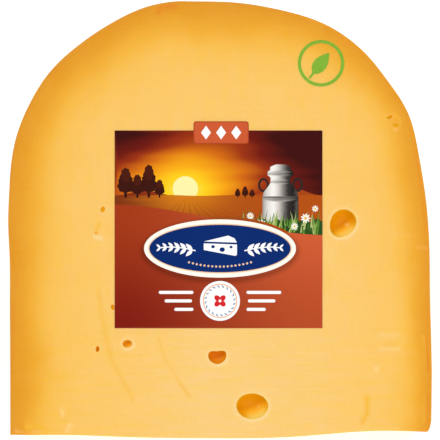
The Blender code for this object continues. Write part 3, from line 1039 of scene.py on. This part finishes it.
# Bars beside the seal: start and length, from the top one down
BARS = [(7.2, 9.4), (7.6, 7.4), (7.2, 5.2)]
BAR_STEP = 2.3
WHITE = "#FFFFFF"
NAVY = "#00296E"
PEACH = "#F3C9A0"


def sky_colour(points):
    reach = np.hypot((points[:, 0] - SUN[0]) / GLOW_SPREAD[0], (points[:, 1] - SUN[1]) / GLOW_SPREAD[1])
    streaks = noise_at(points * (0.22, 1.9), 4.0, 2.0)
    dusk = 0.9 * smooth(points[:, 1], 14, 28) * smooth(np.abs(points[:, 0]), 6, 26)
    return ramp_colours(reach * (1 + 0.16 * streaks) + dusk, SKY_STOPS)


def field_colour(points):
    lit = np.exp(-((points[:, 0] - SUN[0]) / 11) ** 2) * smooth(points[:, 1], HORIZON - 9, HORIZON)
    base = mixed("#7A2A10", "#B5500F", smooth(points[:, 0], -28, 20))
    return base * (1 - 0.75 * lit[:, None]) + linear("#E88A16") * 0.75 * lit[:, None]


def panel_colour(points):
    across = smooth(points[:, 0], -PICTURE_SIDE, PICTURE_SIDE)
    upward = smooth(points[:, 1], -LABEL_HEIGHT / 2, 6)[:, None]
    low = mixed("#80170B", "#B94B25", across)
    high = mixed("#A43814", "#D45E35", across)
    return low * (1 - upward) + high * upward


def panel_top(x):
    """Upper edge of the plain panel under the picture."""
    return 2.6 - 4.2 * np.sin(math.pi * x / 62)


class Artwork:
    """Polygons painted one over the other, each with a colour or a function of place."""

    def __init__(self, edge):
        self.edge = edge
        self.layers = []

    def paint(self, points, colour):
        points = np.asarray(points, dtype=float)
        after = np.roll(points, -1, axis=0)
        area = (points[:, 0] * after[:, 1] - after[:, 0] * points[:, 1]).sum() / 2
        self.layers.append((points if area > 0 else points[::-1], colour))

    def ellipse(self, x, y, half_x, half_y, colour, steps=64, turn=0.0):
        self.paint(ellipse(x, y, half_x, half_y, steps, turn), colour)

    def colours(self, layer, points):
        colour = self.layers[layer][1]
        if callable(colour):
            return colour(points)
        return np.tile(linear(colour), (len(points), 1))

    def mesh(self, name, to_world):
        """One mesh of flat triangles, cut along every polygon and coloured by the topmost one."""
        loops = [layer[0] for layer in self.layers]
        lattice = Sheet.hex_points(self.edge, [], [], ART_SPACING)
        flat = np.vstack(loops + [lattice])
        faces, start = [], 0
        for loop in loops:
            faces.append(list(range(start, start + len(loop))))
            start += len(loop)
        found = delaunay_2d_cdt([Vector(point) for point in flat], [], faces, 1, 1e-5)
        points = np.array([point[:] for point in found[0]])
        mesh = bpy.data.meshes.new(name)
        mesh.from_pydata(to_world(points).tolist(), [], found[2])
        colours = np.ones((len(mesh.loops), 4), dtype="f")
        tops = np.array([max(source) for source in found[5]])
        corners = np.array(found[2]).ravel()
        layer_of_corner = np.repeat(tops, 3)
        for layer in np.unique(tops):
            chosen = layer_of_corner == layer
            colours[chosen, :3] = self.colours(layer, points[corners[chosen]])
        set_values(mesh, "ink", "FLOAT_COLOR", colours, "CORNER")
        set_values(mesh, "label_place", "FLOAT_VECTOR", tagged(points, UPPER_PAGE))
        return mesh


def label_edge(inset):
    """Outline of the label with its tab, pulled in by inset."""
    right, top = LABEL_WIDTH / 2 - inset, LABEL_HEIGHT / 2 - inset
    box = rounded_box(-right, -top, right, top, LABEL_CORNER)
    tab_left, tab_right = TAB_U - TAB_WIDTH / 2 + inset, TAB_U + TAB_WIDTH / 2 - inset
    tab = rounded_box(tab_left, top - TAB_DROP, tab_right, top + TAB_RISE, TAB_CORNER)
    corner = len(box) // 4
    return np.vstack([box[:2 * corner], (tab_right, top), tab[corner:3 * corner], (tab_left, top),
                      box[2 * corner:]])


def paint_landscape(art):
    sky = rounded_box(-PICTURE_SIDE, -PICTURE_TOP, PICTURE_SIDE, PICTURE_TOP, LABEL_CORNER)
    art.paint(sky, sky_colour)
    art.ellipse(*SUN, SUN_RADIUS, SUN_RADIUS, "#FFF4A8")
    for left, right, rise, colour in RIDGES:
        def ridge(x):
            return HORIZON + rise * np.sin(math.pi * (x - left) / (right - left)) ** 2
        art.paint(under_curve(ridge, left, right, HORIZON - 1), colour)
    art.paint(under_curve(lambda x: HORIZON + 0.12 * np.sin(x / 3), -PICTURE_SIDE, PICTURE_SIDE, -8),
              field_colour)
    for i in range(FURROWS):
        foot = -26 + 6.6 * i
        furrow = [(SUN[0] + 0.2 * i, HORIZON - 0.4), (foot + 1.1, -6), (foot, -6)]
        art.paint(furrow, lambda points: field_colour(points) * 0.72)


def paint_trees(art):
    foot = HORIZON - 0.6
    for x, height, half_width in TREES:
        trunk = half_width * 0.16
        art.paint([(x - trunk, foot), (x + trunk, foot), (x + trunk, foot + height / 2),
                   (x - trunk, foot + height / 2)], "#2E0C08")
        for share, size, colour in TREE_CROWNS:
            wobble = 1 + 0.1 * np.sin(np.arange(22) * 2.4 + x)[:, None]
            crown = ellipse(0, 0, half_width * size, height * 0.26, 22) * wobble
            art.paint(moved(crown, x, foot + height * share), colour)


def churn_colour(points):
    return ramp_colours((points[:, 0] - CHURN_X + 5) / 10, CHURN_STOPS)


def paint_churn(art):
    """A milk churn of polished steel, standing in the grass."""
    for side in (-1, 1):
        grip = (CHURN_X + side * 4.6, CHURN_FOOT + 11.6)
        art.ellipse(*grip, 1.5, 1.9, "#2A2524", 26)
        art.ellipse(*grip, 0.9, 1.3, sky_colour, 26)
    half = np.array(CHURN_PROFILE)
    body = np.vstack([half, (half * (-1, 1))[::-1]])
    art.paint(moved(body, CHURN_X, CHURN_FOOT), churn_colour)
    for height, half_width in CHURN_BANDS:
        y = CHURN_FOOT + height
        band = rounded_box(CHURN_X - half_width, y, CHURN_X + half_width, y + 0.5, 0.2, 3)
        art.paint(band, lambda points: churn_colour(points) * 0.6)


def paint_grass(art):
    draw = np.random.default_rng(7)
    art.paint(under_curve(lambda x: 2.4 + 0.5 * np.sin(x * 1.7), 6.5, PICTURE_SIDE, -6), "#2C4F1C")
    for i in range(BLADES):
        x = draw.uniform(5.5, PICTURE_SIDE - 1.4)
        height = draw.uniform(2.2, 5.4)
        lean = draw.uniform(-1.3, 1.3)
        foot = draw.uniform(-2.5, 1.4)
        width = draw.uniform(0.16, 0.34)
        blade = [(-width, 0), (width, 0), (lean * 0.5 + width * 0.5, height * 0.6), (lean, height),
                 (lean * 0.4 - width * 0.4, height * 0.55)]
        art.paint(moved(blade, x, foot), GREENS[i * len(GREENS) // BLADES])
    for x, y, size in DAISIES:
        for turn in np.arange(PETALS) * TAU / PETALS:
            petal_x, petal_y = x + 0.62 * size * math.cos(turn), y + 0.62 * size * math.sin(turn)
            art.ellipse(petal_x, petal_y, 0.42 * size, 0.17 * size, "#FFFDF2", 10, turn)
        art.ellipse(x, y, 0.3 * size, 0.3 * size, "#F2B320", 12)


def under_plate(points):
    above = points[:, 1] > panel_top(points[:, 0])
    return np.where(above[:, None], field_colour(points), panel_colour(points))


def paint_plate(art):
    """Oval plate with an emblem between two sprigs, a row of dots, and a soft shadow under it."""
    x, y = PLATE
    for spread, share in PLATE_SHADOW:
        art.ellipse(x, y - 0.7, PLATE_SIZE[0] + spread, PLATE_SIZE[1] + spread,
                    lambda points, share=share: under_plate(points) * share, 96)
    for inset, colour in ((0.0, "#FFFBEF"), (1.15, PEACH), (1.45, NAVY)):
        art.ellipse(x, y, PLATE_SIZE[0] - inset, PLATE_SIZE[1] - inset, colour, 96)
    for face in EMBLEM_FACES:
        art.paint(moved(face, x, y + 0.2), WHITE)
    for eye_x, eye_y, size in EMBLEM_EYES:
        art.ellipse(x + eye_x, y + 0.2 + eye_y, size, size * 0.85, NAVY, 24)
    for side in (-1, 1):
        paint_sprig(art, x + side * 6.6, y - 0.6, side)
    for k in range(-8, 9):
        art.ellipse(x + k * 1.05, y - 4.9 + 0.018 * k * k, 0.3, 0.3, PEACH, 12)


def paint_sprig(art, x, y, side):
    """Leafy sprig that runs outwards from x, with leaves in pairs."""
    along = np.linspace(0, 1, 12)
    spine = np.c_[x + side * 9.6 * along, y + np.sin(along * 2.2)]
    art.paint(np.vstack([spine + (0, 0.16), spine[::-1] - (0, 0.16)]), WHITE)
    for k, foot in enumerate(spine[1::2]):
        size = 2.5 - 0.22 * k
        for lean in (0.75, -0.75):
            heading = lean if side > 0 else math.pi - lean
            art.paint(moved(leaf_shape(size, size * 0.42, 8), *foot, heading), WHITE)


def paint_seal(art):
    """Round seal with a wreath and a flower, and plain bars on both sides of it."""
    x, y = SEAL
    for inset, colour in ((0.0, WHITE), (0.75, "#F0AE78"), (1.0, WHITE)):
        art.ellipse(x, y, SEAL_RADIUS - inset, SEAL_RADIUS - inset, colour, 72)
    reach = SEAL_RADIUS - 1.75
    for turn in np.arange(SEAL_LEAVES) * TAU / SEAL_LEAVES:
        art.paint(moved(moved(leaf_shape(1.05, 0.42, 7), reach, 0, 1.0), x, y, turn), "#8FA0BE")
    for turn in (np.arange(4) + 0.5) * TAU / 4:
        art.ellipse(x + 0.95 * math.cos(turn), y + 0.95 * math.sin(turn), 1.0, 0.72, "#D8262A", 22, turn)
    art.ellipse(x, y, 0.4, 0.4, WHITE, 16)
    for side in (-1, 1):
        for k, (start, length) in enumerate(BARS):
            left = x + side * start if side > 0 else x - start - length
            bar_y = y + BAR_STEP * (1 - k)
            art.paint(rounded_box(left, bar_y - 0.42, left + length, bar_y + 0.42, 0.4, 5), WHITE)


def paint_tab(art):
    top = LABEL_HEIGHT / 2
    # The tab's darker rim is painted shadow along its edge
    for inset, colour in ((0.0, "#B24A25"), (0.25, "#CF5B33")):
        art.paint(rounded_box(TAB_U - TAB_WIDTH / 2 + inset, top - TAB_DROP + inset,
                              TAB_U + TAB_WIDTH / 2 - inset, top + TAB_RISE - inset, TAB_CORNER), colour)
    for k in (-1, 0, 1):
        lozenge = [(-1.35, 0), (0, -1.85), (1.35, 0), (0, 1.85)]
        art.paint(moved(lozenge, TAB_U + 4.1 * k, top + (TAB_RISE - TAB_DROP) / 2), WHITE)


def label_artwork():
    art = Artwork(label_edge(0.0))
    art.paint(label_edge(0.0), "#E9C48E")
    paint_landscape(art)
    paint_trees(art)
    paint_churn(art)
    paint_grass(art)
    art.paint(under_curve(panel_top, -PICTURE_SIDE, PICTURE_SIDE, -PICTURE_TOP), panel_colour)
    paint_plate(art)
    paint_seal(art)
    paint_tab(art)
    return art


def on_upper_face(middle_u, middle_v, lift):
    """Function that lays flat points, in millimetres round a middle, on the upper cut face."""
    def lay(points):
        flat = points + (middle_u, middle_v)
        waves = cut_waves(flat, UPPER_PAGE)
        return place(flat[:, 0], TIP_RADIUS + flat[:, 1], WEDGE_ANGLE, waves + lift)
    return lay


def thicken(item, thickness):
    """Turns a flat piece into a closed sheet that reaches down from its shown side."""
    solid = item.modifiers.new("thickness", "SOLIDIFY")
    solid.thickness = thickness * MM
    solid.offset = -1.0
    solid.use_even_offset = False


def build_label():
    mesh = label_artwork().mesh("label_sheet", on_upper_face(LABEL_U, LABEL_V, PAPER_GAP + PAPER))
    label = add_object("label_sheet", mesh, label_material())
    thicken(label, PAPER)
    stand_for(label, "label")


def label_material():
    graph = Graph("label_print")
    ink = graph.node("Attribute", "Color", {}, attribute_name="ink")
    flat = graph.vector("label_place")
    screen = graph.spread(graph.noise(flat, 3.2, 3.0, 0.6), 0.3, 0.7, 0.0, 0.005)
    colour = graph.over(ink, "#FFE9C8", screen)
    fibre = graph.noise(flat, 2.2, 4.0, 0.6)
    normal = graph.bump(fibre, 0.02 * MM, 0.5)
    roughness = graph.spread(graph.noise(flat, 0.3, 2.0), 0.3, 0.7, 0.40, 0.52)
    return graph.finish(colour, roughness, normal, Specular_IOR_Level=0.035)


def ink_material():
    graph = Graph("mark_ink")
    flat = graph.vector("label_place")
    patchy = graph.spread(graph.noise(flat, 1.4, 3.0, 0.6), 0.3, 0.7)
    colour = graph.ramp(patchy, [(0.0, "#79AA2E"), (0.6, "#82B434"), (1.0, "#8CBD42")])
    normal = graph.bump(graph.noise(flat, 4.0, 3.0), 0.015 * MM, 0.5)
    return graph.finish(colour, 0.48, normal, Specular_IOR_Level=0.15)


def ring_mesh(lay):
    """The mark's ring: a flat band of quads."""
    circle = ellipse(0, 0, 1, 1, RING_STEPS)
    flat = np.vstack([circle * RING_RADIUS, circle * (RING_RADIUS - RING_WIDTH)])
    after = [(i + 1) % RING_STEPS for i in range(RING_STEPS)]
    faces = [(i, after[i], RING_STEPS + after[i], RING_STEPS + i) for i in range(RING_STEPS)]
    mesh = bpy.data.meshes.new("mark_ring_print")
    mesh.from_pydata(lay(flat).tolist(), [], faces)
    set_values(mesh, "label_place", "FLOAT_VECTOR", tagged(flat, UPPER_PAGE))
    return mesh


def leaf_mesh(lay):
    """The mark's leaf with its stalk."""
    foot = -LEAF_LENGTH / 2
    blade = moved(leaf_shape(LEAF_LENGTH, LEAF_WIDTH, 24), foot, 0)
    stalk = [(foot - STALK_LENGTH, -0.3), (foot + 0.8, -0.3), (foot + 0.8, 0.3), (foot - STALK_LENGTH, 0.3)]
    outlines = [moved(shape, 0, 0, LEAF_TURN) for shape in (blade, stalk)]
    art = Artwork(outlines[0])
    for outline in outlines:
        art.paint(outline, MARK_GREEN)
    return art.mesh("mark_leaf_print", lay)


def build_mark():
    material = ink_material()
    lay = on_upper_face(MARK_U, MARK_V, INK_GAP + INK)
    for node, mesh in (("mark_ring", ring_mesh(lay)), ("mark_leaf", leaf_mesh(lay))):
        piece = add_object(node + "_print", mesh, material)
        thicken(piece, INK)
        stand_for(piece, node)


# Stage, light and camera

def build_floor():
    mesh = bpy.data.meshes.new("floor")
    corners = [(-1, -1), (1, -1), (1, 1), (-1, 1)]
    mesh.from_pydata([(x * FLOOR_HALF, y * FLOOR_HALF, 0) for x, y in corners], [], [(0, 1, 2, 3)])
    graph = Graph("floor")
    tone = graph.spread(graph.noise(graph.solid(), 0.01, 2.0), 0.3, 0.7)
    colour = graph.ramp(tone, [(0.0, "#FAFAF9"), (1.0, "#FCFCFB")])
    material = graph.finish(colour, 0.7, Specular_IOR_Level=0.1, Emission_Strength=FLOOR_GLOW,
                            Emission_Color=rgba(WHITE))
    add_object("floor", mesh, material)


def build_lights():
    for name, place_m, size, power in LIGHTS:
        light = bpy.data.lights.new(name, "AREA")
        light.shape = "DISK"
        light.size = size
        light.energy = power
        item = add_object(name, light)
        item.location = place_m
        heading = Vector(LIGHT_TARGET) - item.location
        item.rotation_euler = heading.to_track_quat("-Z", "Y").to_euler()
    world = bpy.data.worlds.new("studio")
    world.use_nodes = True
    background = world.node_tree.nodes["Background"]
    background.inputs["Color"].default_value = rgba(WHITE)
    background.inputs["Strength"].default_value = WORLD_STRENGTH
    bpy.context.scene.world = world


def build_camera():
    data = bpy.data.cameras.new("camera")
    data.lens = LENS
    data.sensor_width = SENSOR
    data.clip_start = CLIP_START
    camera = add_object("camera", data)
    camera.location = place(0.0, TIP_RADIUS + VIEW_CENTRE_V, WEDGE_ANGLE, CAMERA_DISTANCE)
    camera.rotation_euler = (WEDGE_ANGLE, 0.0, 0.0)
    bpy.context.scene.camera = camera


build_cheese()
build_label()
build_mark()
build_floor()
build_lights()
build_camera()
bpy.context.scene.view_settings.view_transform = "Standard"
